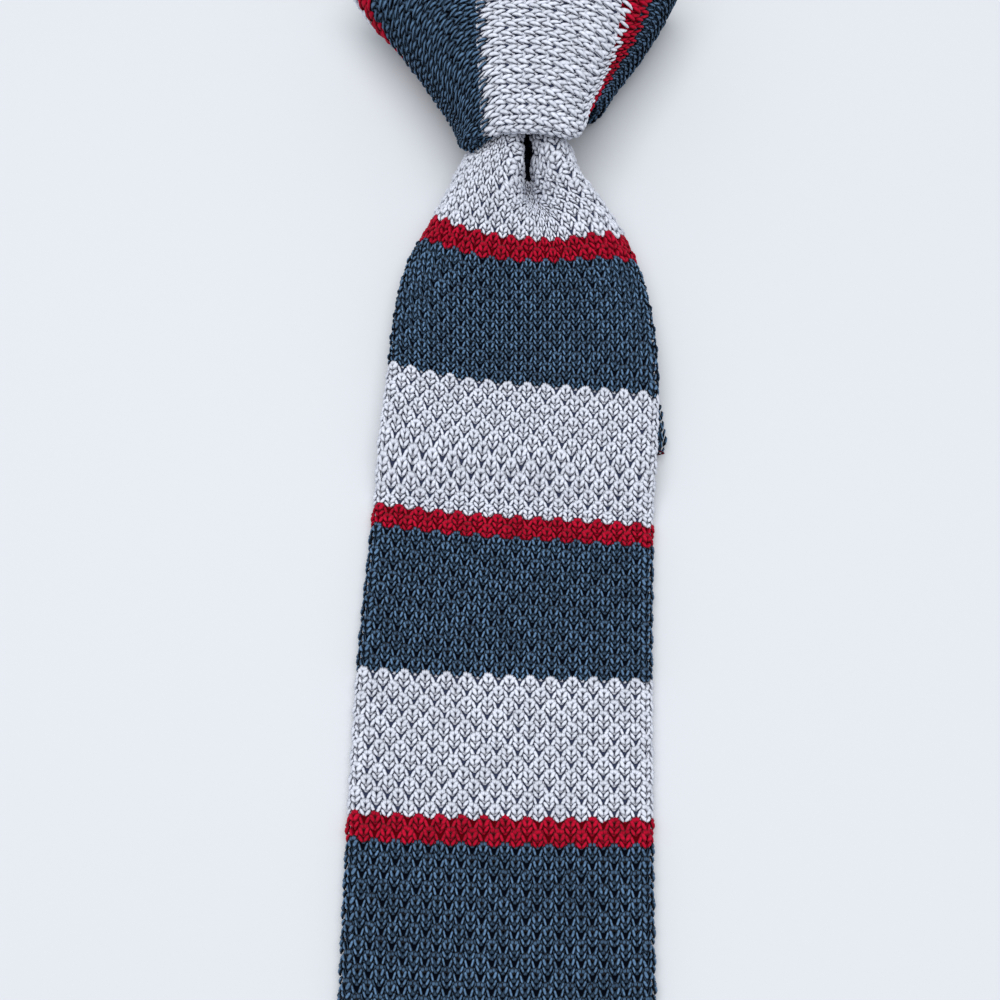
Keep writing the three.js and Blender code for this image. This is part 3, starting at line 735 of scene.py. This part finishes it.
def tail_cloth(slim):
    """The tail: narrow where it leaves the knot, flat and wide under the blade."""
    top = FOOT + ARM_RISE - 2 * LAYER_GAP
    y = np.concatenate([np.linspace(TAIL_END, TAIL_END + 4, 8)[:-1], np.linspace(TAIL_END + 4, top, 70)])
    across = np.linspace(-1, 1, TAIL_COLUMNS)[None]
    at = np.where(y > FOOT, (y - FOOT) / ARM_RISE, (y - FOOT) / TAIL_DROP)
    half = (column(TAIL_ROWS, "width", at) * TAIL_WIDTH - CLOTH) / 2
    side, before, after = (column(TAIL_ROWS, "side", at + d) * TAIL_WIDTH for d in (0, -0.02, 0.02))
    slant = (before - after) / (0.04 * TAIL_DROP)
    # Its hidden end lies square to the loop's arm
    square = mix(slant, -math.tan(ARM_HEADING - math.pi / 2), smooth(0.55, 1, at))
    z = mix(ON_TABLE, TAIL_NECK, column(TAIL_ROWS, "lift", at))
    reach = across * half[:, None]
    middle = np.stack([side[:, None] + reach, y[:, None] + reach * square[:, None], z[:, None] + 0 * reach], -1)
    thick = mix(KNOT_CLOTH, CLOTH, smooth(0.4, 0.7, (top - y) / (top - TAIL_END)))
    cloth = Cloth(middle, (thick / 2 - slim) * rounded_end(y - TAIL_END), wales=20)
    cloth.courses = np.repeat(((y - TAIL_END) / PLAIN_COURSE)[:, None] + TAIL_COURSE, cloth.points.shape[1], axis=1)
    return cloth


# Colours and finishes


def group_tree(name, inputs, outputs):
    """An empty shader node group with named sockets, and its input and output nodes."""
    tree = bpy.data.node_groups.new(name, "ShaderNodeTree")
    for label, kind, value in inputs:
        socket = tree.interface.new_socket(label, in_out="INPUT", socket_type=kind)
        if value is not None:
            socket.default_value = value
    for label, kind in outputs:
        tree.interface.new_socket(label, in_out="OUTPUT", socket_type=kind)
    return tree, tree.nodes.new("NodeGroupInput"), tree.nodes.new("NodeGroupOutput")


def calc(tree, operation, *values, clamp=False):
    """A Math node fed with sockets or numbers; gives its output socket."""
    node = tree.nodes.new("ShaderNodeMath")
    node.operation = operation
    node.use_clamp = clamp
    for socket, value in zip(node.inputs, values):
        if isinstance(value, (int, float)):
            socket.default_value = value
        else:
            tree.links.new(value, socket)
    return node.outputs[0]


def ramp(tree, value, low, high, start=0.0, end=1.0):
    """A Map Range node with smooth ends."""
    node = tree.nodes.new("ShaderNodeMapRange")
    node.interpolation_type = "SMOOTHSTEP"
    tree.links.new(value, node.inputs["Value"])
    for name, number in (("From Min", low), ("From Max", high), ("To Min", start), ("To Max", end)):
        node.inputs[name].default_value = number
    return node.outputs[0]


def blend(tree, factor, a, b):
    """A colour Mix node; a and b are sockets or colours."""
    node = tree.nodes.new("ShaderNodeMix")
    node.data_type = "RGBA"
    tree.links.new(factor, node.inputs["Factor"])
    for name, value in (("A", a), ("B", b)):
        socket = next(s for s in node.inputs if s.name == name and s.type == "RGBA")
        if isinstance(value, tuple):
            socket.default_value = (*value, 1.0)
        else:
            tree.links.new(value, socket)
    return next(s for s in node.outputs if s.type == "RGBA")


def linear(red, green, blue):
    """A colour given as it looks on a screen, 0 to 255."""
    return tuple(((c / 255 + 0.055) / 1.055) ** 2.4 if c > 10 else c / 255 / 12.92 for c in (red, green, blue))


def knit_group():
    """Stitches of a flat knit drawn from wales and courses: their height, their cover and the colour bands."""
    tree, into, out = group_tree(
        "Knit stitches",
        [("Wales and courses", "NodeSocketVector", None)],
        [(label, "NodeSocketFloat") for label in ("Height", "Cover", "Red", "Grey")],
    )
    do = functools.partial(calc, tree)
    apart = tree.nodes.new("ShaderNodeSeparateXYZ")
    tree.links.new(into.outputs[0], apart.inputs[0])
    wale, course = apart.outputs[0], apart.outputs[1]
    odd = do("FLOORED_MODULO", do("FLOOR", wale), 2.0)
    phase = do("FRACT", do("ADD", course, do("MULTIPLY", odd, -0.5)))
    side = do("ABSOLUTE", do("SUBTRACT", do("FRACT", wale), 0.5))
    # The next stitch's arch and the last pair of the one before reach into a stitch
    shifts = {ARCH: (0.0, -1.0), STRANDS[-1]: (0.0, 1.0)}
    height = None
    for strand in (ARCH, *STRANDS):
        du, dv = (strand.end[0] - strand.start[0]) * WALE_WIDTH, (strand.end[1] - strand.start[1]) * COURSE_LENGTH
        for shift in shifts.get(strand, (0.0,)):
            x = do("MULTIPLY", do("SUBTRACT", side, strand.start[0]), WALE_WIDTH)
            y = do("MULTIPLY", do("SUBTRACT", do("ADD", phase, shift), strand.start[1]), COURSE_LENGTH)
            along = do("ADD", do("MULTIPLY", x, du), do("MULTIPLY", y, dv))
            t = do("DIVIDE", along, du * du + dv * dv, clamp=True)
            dx, dy = do("SUBTRACT", x, do("MULTIPLY", t, du)), do("SUBTRACT", y, do("MULTIPLY", t, dv))
            away = do("SQRT", do("ADD", do("MULTIPLY", dx, dx), do("MULTIPLY", dy, dy)))
            ridge = ramp(tree, away, strand.width * 1.1, 0.0, 0.0, 0.45 + strand.heights[1])
            height = ridge if height is None else do("MAXIMUM", height, ridge)
    tree.links.new(height, out.inputs["Height"])
    tree.links.new(ramp(tree, height, 0.12, 0.5), out.inputs["Cover"])
    band = do("FLOORED_MODULO", do("FLOOR", course), float(REPEAT))
    tree.links.new(do("LESS_THAN", band, RED_END - 0.5), out.inputs["Red"])
    tree.links.new(do("GREATER_THAN", band, NAVY_END - 0.5), out.inputs["Grey"])
    return tree


def yarn_group():
    """Two plies twisted round each other along a strand, with fine fibres: their height, and a tone of random patches
    with painted shade between the plies and on the strand's sides and ends.
    """
    tree, into, out = group_tree(
        "Yarn plies",
        [
            ("Strand", "NodeSocketVector", None),
            ("Place", "NodeSocketVector", None),
            ("Plies", "NodeSocketFloat", 3.0),
            ("Depth", "NodeSocketFloat", 0.5),
        ],
        [("Height", "NodeSocketFloat"), ("Tone", "NodeSocketFloat")],
    )
    do = functools.partial(calc, tree)

    def noise(scale):
        node = tree.nodes.new("ShaderNodeTexNoise")
        node.inputs["Scale"].default_value = scale
        node.inputs["Detail"].default_value = 2.0
        tree.links.new(into.outputs["Place"], node.inputs["Vector"])
        return node.outputs["Fac"]

    apart = tree.nodes.new("ShaderNodeSeparateXYZ")
    tree.links.new(into.outputs["Strand"], apart.inputs[0])
    along, around = apart.outputs[0], apart.outputs[1]
    turn = do("FRACT", do("ADD", do("MULTIPLY", along, into.outputs["Plies"]), do("MULTIPLY", around, 2.0)))
    ply = ramp(tree, do("ABSOLUTE", do("SUBTRACT", turn, 0.5)), 0.5, 0.1)
    fibres, patches = noise(5200.0), noise(330.0)
    tree.links.new(do("ADD", ply, do("MULTIPLY", fibres, 0.6)), out.inputs["Height"])
    # The plies' raised parts are painted lighter and the grooves between them darker, as shade; the fibres and patches
    # are random tone
    tone = do("ADD", do("MULTIPLY", ply, 0.16), do("MULTIPLY", fibres, 0.7))
    tone = do("ADD", tone, do("MULTIPLY", ramp(tree, patches, 0.3, 0.7), 0.4))
    # Painted shade: a strand's sides and ends are darkened where they lie deep between the other strands
    crest_shading = ramp(tree, do("ABSOLUTE", do("SUBTRACT", around, 0.3)), 0.3, 0.06)
    end = do("ABSOLUTE", do("SUBTRACT", do("FRACT", along), 0.5))
    crest_shading = do("MULTIPLY", crest_shading, ramp(tree, end, 0.47, 0.22))
    # The arches, and the knot's chains a little, are painted darker still as shade. The whole number in the UV is the
    # strand's kind
    kind = do("FLOOR", along)
    kind_shading = do("SUBTRACT", ramp(tree, kind, 0.0, 1.0, 0.54, 0.88), ramp(tree, kind, 1.0, 2.0, 0.0, 0.16))
    crest_shading = do("MULTIPLY", do("POWER", crest_shading, 1.9), kind_shading)
    shade_depth = into.outputs["Depth"]
    light = do("ADD", do("MULTIPLY", shade_depth, crest_shading), do("SUBTRACT", 1.0, shade_depth))
    tree.links.new(do("MULTIPLY", tone, light), out.inputs["Tone"])
    return tree


def new_material(name, roughness, sheen):
    material = bpy.data.materials.new(name)
    material.use_nodes = True
    tree = material.node_tree
    shader = next(node for node in tree.nodes if node.type == "BSDF_PRINCIPLED")
    shader.inputs["Roughness"].default_value = roughness
    shader.inputs["Sheen Weight"].default_value = sheen
    shader.inputs["Sheen Roughness"].default_value = 0.5
    shader.inputs["Specular IOR Level"].default_value = 0.04
    return material, tree, shader


def bump(tree, shader, height, strength, distance):
    node = tree.nodes.new("ShaderNodeBump")
    node.inputs["Strength"].default_value = strength
    node.inputs["Distance"].default_value = distance
    tree.links.new(height, node.inputs["Height"])
    tree.links.new(node.outputs["Normal"], shader.inputs["Normal"])


def group_node(tree, name, build, **sockets):
    """A node that holds the shared group of that name, built when the first material asks for it."""
    node = tree.nodes.new("ShaderNodeGroup")
    node.node_tree = bpy.data.node_groups.get(name) or build()
    for label, value in sockets.items():
        socket = node.inputs[label.replace("_", " ")]
        if isinstance(value, (int, float)):
            socket.default_value = value
        else:
            tree.links.new(value, socket)
    return node


def uv_socket(tree, name):
    node = tree.nodes.new("ShaderNodeUVMap")
    node.uv_map = name
    return node.outputs["UV"]


def yarn_material(name, dark, light, plies, shade_depth):
    """One yarn, blended by its tone and painted shade from its dark colour to its light one."""
    material, tree, shader = new_material(name, 0.8, 0.04)
    place = tree.nodes.new("ShaderNodeTexCoord").outputs["Object"]
    strand = uv_socket(tree, "strand")
    yarn = group_node(tree, "Yarn plies", yarn_group, Strand=strand, Place=place, Plies=plies, Depth=shade_depth)
    tree.links.new(blend(tree, yarn.outputs["Tone"], dark, light), shader.inputs["Base Color"])
    bump(tree, shader, yarn.outputs["Height"], 0.35, 0.00012)
    return material


def cloth_material(name, yarns, gaps):
    """The cloth under and between the stitches, in the same bands of colour, with gap colours that are partly painted
    shade between its printed stitches.
    """
    material, tree, shader = new_material(name, 0.9, 0.0)
    knit = group_node(tree, "Knit stitches", knit_group, Wales_and_courses=uv_socket(tree, "knit"))
    under, over = (
        blend(tree, knit.outputs["Grey"], blend(tree, knit.outputs["Red"], navy, red), grey)
        for red, navy, grey in (gaps, yarns)
    )
    tree.links.new(blend(tree, knit.outputs["Cover"], under, over), shader.inputs["Base Color"])
    bump(tree, shader, knit.outputs["Height"], 1.0, 0.0006)
    return material


def shaded_material(name):
    """The cloth deep in a fold, painted dark as shade, because hardly any light falls on the stitches there."""
    dark = tuple(bpy.context.scene.tie_yarns.deep_fold)
    return cloth_material(name, [dark] * 3, [tuple(0.3 * c for c in dark)] * 3)


def colour(name, description, value):
    return bpy.props.FloatVectorProperty(
        name=name, description=description, subtype="COLOR", size=3, min=0.0, max=1.0, default=value
    )


class TieYarns(bpy.types.PropertyGroup):
    red: colour("Red yarn", "The thin stripes", linear(206, 18, 56))
    navy: colour("Navy yarn", "The dark bands", linear(110, 146, 184))
    grey: colour("Grey yarn", "The light bands", linear(236, 240, 252))
    # The gap colours are partly the deep colour of the cloth between the stitches and partly painted shade; they also
    # give each yarn the dark end of its painted shade
    red_gap: colour("Red gaps", "Between the red stitches", linear(84, 0, 6))
    navy_gap: colour("Navy gaps", "Between the navy stitches", linear(2, 5, 14))
    grey_gap: colour("Grey gaps", "Between the grey stitches", linear(48, 54, 76))
    # Painted shade: the dark colour of the cloth deep in the slit under the knot
    deep_fold: colour("Deep fold", "Stitches deep in the slit under the knot", linear(26, 30, 44))


class TieStitches(bpy.types.PropertyGroup):
    proud: bpy.props.FloatProperty(
        name="Stitch height", description="How far the stitches stand out of the cloth that carries them",
        default=0.0005, min=0.0001, max=0.001, subtype="DISTANCE", unit="LENGTH", precision=5,
    )
    navy_width: bpy.props.FloatProperty(
        name="Navy yarn width", description="Width of the navy yarn as a share of the other two",
        default=0.76, min=0.5, max=1.2, subtype="FACTOR",
    )
    plies: bpy.props.FloatProperty(
        name="Plies", description="Turns of the plies along one strand of a stitch", default=3.0, min=0.0, max=9.0
    )


class TieStage(bpy.types.PropertyGroup):
    floor: colour("Table", "The plain pale table", linear(212, 215, 220))
    lamp: bpy.props.FloatProperty(
        name="Lamp", description="Power of the large soft lamp", default=13.2, min=0.0, unit="POWER"
    )
    sky: bpy.props.FloatProperty(name="Sky", description="Strength of the even light", default=0.48, min=0.0)

# For each yarn: how far painted shade darkens a strand towards its gaps, how much of the yarn's full colour its fibres
# keep in that painted shade, and how bright the cloth under its stitches is, where 1 is as bright as the yarn and
# less is painted shade under the stitches
SHADE_DEPTH = {"red": 0.6, "navy": 0.97, "grey": 0.4}
SOFT = {"red": 0.12, "navy": 0.0, "grey": 0.5}
UNDER = {"red": 0.75, "navy": 0.38, "grey": 0.9}


def yarn_materials():
    """The three yarns, in the order of YARNS, made once for all the stitches."""
    yarns, plies = bpy.context.scene.tie_yarns, bpy.context.scene.tie_stitches.plies
    made = []
    for name in YARNS:
        light = tuple(getattr(yarns, name))
        # The dark end of a yarn is the colour of its painted shade
        dark = tuple(mix(gap, full, SOFT[name]) for gap, full in zip(getattr(yarns, f"{name}_gap"), light))
        known = bpy.data.materials.get(f"{name}_yarn")
        made.append(known or yarn_material(f"{name}_yarn", dark, light, plies, SHADE_DEPTH[name]))
    return made


def knit_material(name):
    """The cloth of one piece, in all three yarns."""
    yarns = bpy.context.scene.tie_yarns
    # The cloth under the stitches is painted darker than its yarn, as shade
    over = [tuple(UNDER[yarn] * c for c in getattr(yarns, yarn)) for yarn in YARNS]
    under = [tuple(getattr(yarns, f"{yarn}_gap")) for yarn in YARNS]
    return cloth_material(name, over, under)


def stitch_height():
    """How far the stitches stand out of the cloth, in millimetres."""
    return bpy.context.scene.tie_stitches.proud / MM


class TIE_OT_stage(bpy.types.Operator):
    """Table, soft light and the camera over the knot"""

    bl_idname = "tie.stage"
    bl_label = "Stage"

    def execute(self, context):
        scene = context.scene
        corners = np.array([(-1, -1, 0), (1, -1, 0), (1, 1, 0), (-1, 1, 0)]) * FLOOR_SIZE / 2
        floor = mesh_object("floor", corners, [np.array([[0, 1, 2, 3]])])
        material, tree, shader = new_material("table", 0.6, 0.0)
        noise = tree.nodes.new("ShaderNodeTexNoise")
        noise.inputs["Scale"].default_value = 14.0
        soft = ramp(tree, noise.outputs["Fac"], 0.2, 0.8)
        pale = tuple(scene.tie_stage.floor)
        tree.links.new(blend(tree, soft, tuple(0.985 * c for c in pale), pale), shader.inputs["Base Color"])
        floor.data.materials.append(material)

        light = bpy.data.lights.new("soft_lamp", "AREA")
        light.shape, light.size, light.size_y = "RECTANGLE", LAMP_SIZE, LAMP_SIZE
        light.energy = scene.tie_stage.lamp
        lamp = bpy.data.objects.new("soft_lamp", light)
        lamp.location = LAMP_PLACE
        lamp.rotation_euler = (Vector(LAMP_AIM) - Vector(LAMP_PLACE)).to_track_quat("-Z", "Y").to_euler()
        context.collection.objects.link(lamp)
        scene.world = scene.world or bpy.data.worlds.new("sky")
        scene.world.use_nodes = True
        background = next(n for n in scene.world.node_tree.nodes if n.type == "BACKGROUND")
        background.inputs["Color"].default_value = (0.93, 0.96, 1.0, 1.0)
        background.inputs["Strength"].default_value = scene.tie_stage.sky

        eye = bpy.data.cameras.new("camera")
        eye.lens, eye.sensor_width, eye.sensor_fit = CAMERA_LENS, 36.0, "HORIZONTAL"
        eye.clip_start, eye.clip_end = 0.01, 20.0
        camera = bpy.data.objects.new("camera", eye)
        camera.location = CAMERA_PLACE
        camera.rotation_euler = (math.radians(CAMERA_TILT), 0.0, 0.0)
        context.collection.objects.link(camera)
        scene.camera = camera
        scene.view_settings.view_transform = "Standard"
        return {"FINISHED"}


def dress(piece, slot, stitches):
    """The cloth takes the place of its plain solid, and its stitches ride along."""
    for made in (*stitches, piece):
        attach(made, "root")
    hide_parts(slot)


class TIE_OT_front_blade(bpy.types.Operator):
    """The blade's cloth and its stitches"""

    bl_idname = "tie.front_blade"
    bl_label = "Front blade"

    def execute(self, context):
        cloth = blade_cloth(stitch_height())
        # The slit under the knot is painted dark as shade
        shaded = shaded_material("deep_fold_knit")
        piece = cloth_object("front_blade_cloth", cloth, knit_material("blade_knit"), shaded)
        yarns = yarn_materials()
        stitches = stitch_objects("front_blade", cloth, (-16, 16), (-9, 34), yarns, 3, strands=(ARCH, *STRANDS))
        stitches += stitch_objects("blade_fold", cloth, (-16, 16), (-24, -9), yarns, 6, detail=PLAIN)
        stitches += stitch_objects("lower_blade", cloth, (-16, 16), (34, 97), yarns, 4, detail=PLAIN)
        dress(piece, "front_blade", stitches)
        return {"FINISHED"}


class TIE_OT_knot_wrap(bpy.types.Operator):
    """The wrap's cloth round the knot and its stitches"""

    bl_idname = "tie.knot_wrap"
    bl_label = "Knot wrap"

    def execute(self, context):
        cloth = wrap_cloth(stitch_height())
        piece = cloth_object("knot_wrap_cloth", cloth, knit_material("wrap_knit"))
        stitches = stitch_objects(
            "knot_wrap", cloth, (-19, 19), (-4, 22), yarn_materials(), 5, strands=KNOT_STRANDS, step=0.25,
            lean=lambda course: np.interp(course, *LEAN_ROWS), skew=lambda course: np.interp(course, *SLANT_ROWS),
        )
        dress(piece, "knot_wrap", stitches)
        return {"FINISHED"}


class TIE_OT_neck_loop(bpy.types.Operator):
    """The loop's cloth and its stitches, on both sides"""

    bl_idname = "tie.neck_loop"
    bl_label = "Neck loop"

    def execute(self, context):
        cloth = loop_cloth(stitch_height())
        piece = cloth_object("neck_loop_cloth", cloth, knit_material("loop_knit"))
        first = int(LOOP_COURSE)
        last = first + int((NECK_LENGTH + ARM_EXTRA) / PLAIN_COURSE) + 2
        stitches = stitch_objects("neck_loop", cloth, (-15, 15), (first, last), yarn_materials(), 7, detail=PLAIN)
        dress(piece, "neck_loop", stitches)
        return {"FINISHED"}


class TIE_OT_tail(bpy.types.Operator):
    """The tail's cloth and its stitches"""

    bl_idname = "tie.tail"
    bl_label = "Tail"

    def execute(self, context):
        cloth = tail_cloth(stitch_height())
        piece = cloth_object("tail_cloth", cloth, knit_material("tail_knit"))
        stitches = stitch_objects("tail", cloth, (-13, 13), (0, 13), yarn_materials(), 9, detail=PLAIN)
        dress(piece, "tail", stitches)
        return {"FINISHED"}


class TIE_PT_panel(bpy.types.Panel):
    """Buttons that make the tie's pieces"""

    bl_idname = "TIE_PT_panel"
    bl_label = "Knit tie"
    bl_space_type = "VIEW_3D"
    bl_region_type = "UI"
    bl_category = "Tie"

    def draw(self, context):
        for made in OPERATORS:
            self.layout.operator(made.bl_idname)


OPERATORS = (TIE_OT_stage, TIE_OT_front_blade, TIE_OT_knot_wrap, TIE_OT_neck_loop, TIE_OT_tail)
CLASSES = (TieYarns, TieStitches, TieStage, *OPERATORS, TIE_PT_panel)


def register():
    for made in CLASSES:
        bpy.utils.register_class(made)
    bpy.types.Scene.tie_yarns = bpy.props.PointerProperty(type=TieYarns)
    bpy.types.Scene.tie_stitches = bpy.props.PointerProperty(type=TieStitches)
    bpy.types.Scene.tie_stage = bpy.props.PointerProperty(type=TieStage)


def unregister():
    del bpy.types.Scene.tie_stage
    del bpy.types.Scene.tie_stitches
    del bpy.types.Scene.tie_yarns
    for made in reversed(CLASSES):
        bpy.utils.unregister_class(made)


def main():
    register()
    bpy.ops.tie.stage()
    bpy.ops.tie.front_blade()
    bpy.ops.tie.knot_wrap()
    bpy.ops.tie.neck_loop()
    bpy.ops.tie.tail()


if __name__ == "__main__":
    main()
